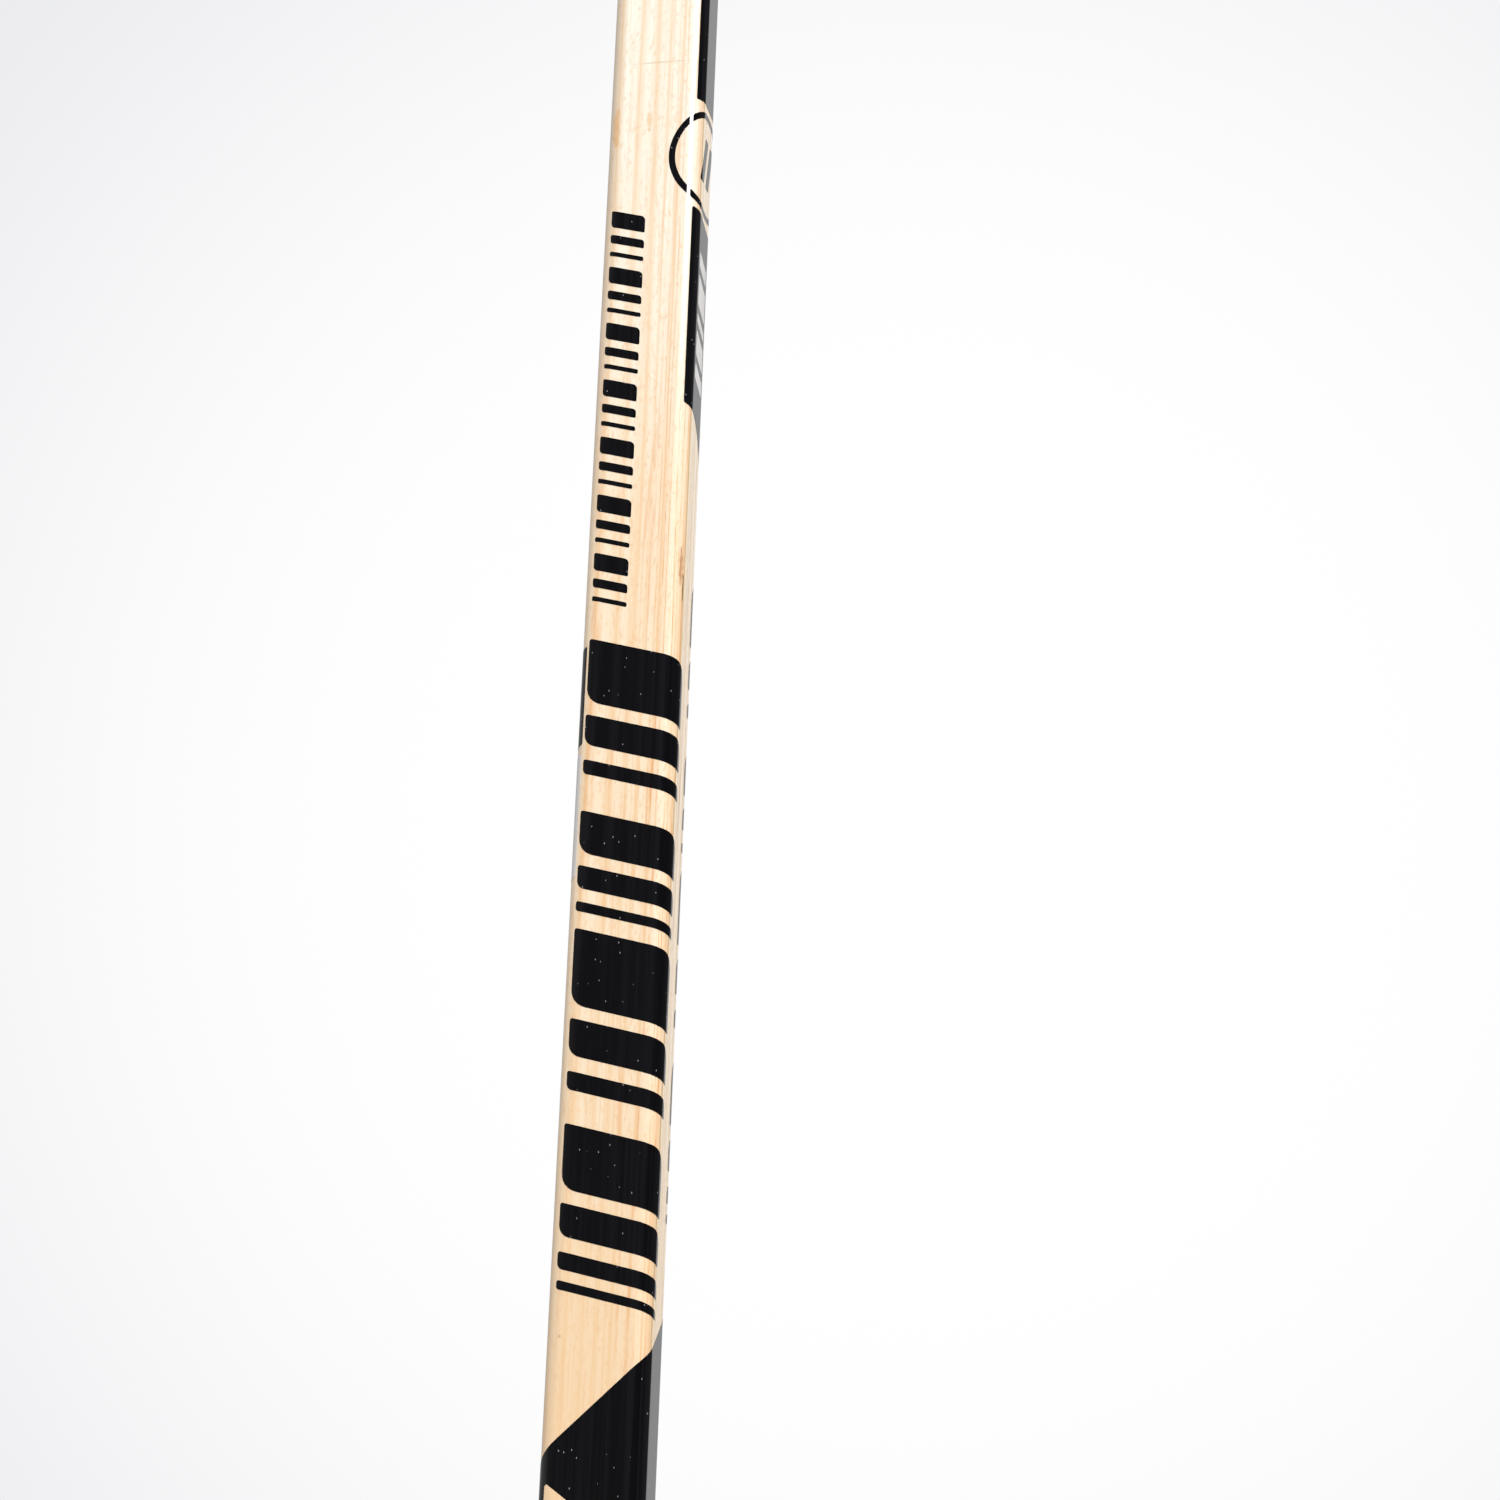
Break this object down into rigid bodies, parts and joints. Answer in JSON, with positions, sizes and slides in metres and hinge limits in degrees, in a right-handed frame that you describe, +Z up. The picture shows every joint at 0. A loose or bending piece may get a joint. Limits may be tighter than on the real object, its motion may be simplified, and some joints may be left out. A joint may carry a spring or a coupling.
{
  "type": "ice hockey stick",
  "caption": "Laminated wooden ice hockey stick: a straight shaft with rounded edges, a shaved heel and a curved blade with a round toe.",
  "frame": {"origin": "middle of the flat top of the butt end", "axes": "+Z up the shaft and out of the butt end, -Y out of the wide front face, +X the way the blade reaches"},
  "size_m": [0.247, 0.027, 1.6937],
  "materials": {
    "face_ply": "clear gloss varnish",
    "core_ply": "clear gloss varnish",
    "fibre_layer": "resin, gloss",
    "blade_core": "clear gloss varnish",
    "blade_skin": "resin over woven glass fibre, gloss",
    "ink": "black screen print under gloss varnish"
  },
  "bodies": {
    "root": {"shaft_face_ply_front": "face_ply", "shaft_face_ply_back": "face_ply", "shaft_fibre_layer_front": "fibre_layer", "shaft_fibre_layer_back": "fibre_layer", "shaft_core_ply_front": "core_ply", "shaft_core_ply_centre": "core_ply", "shaft_core_ply_back": "core_ply", "heel_block": "blade_core", "blade_core_top_strip": "blade_core", "blade_core_middle_strip": "blade_core", "blade_core_bottom_strip": "blade_core", "blade_skin_front": "blade_skin", "blade_skin_back": "blade_skin"}
  },
  "joints": []
}
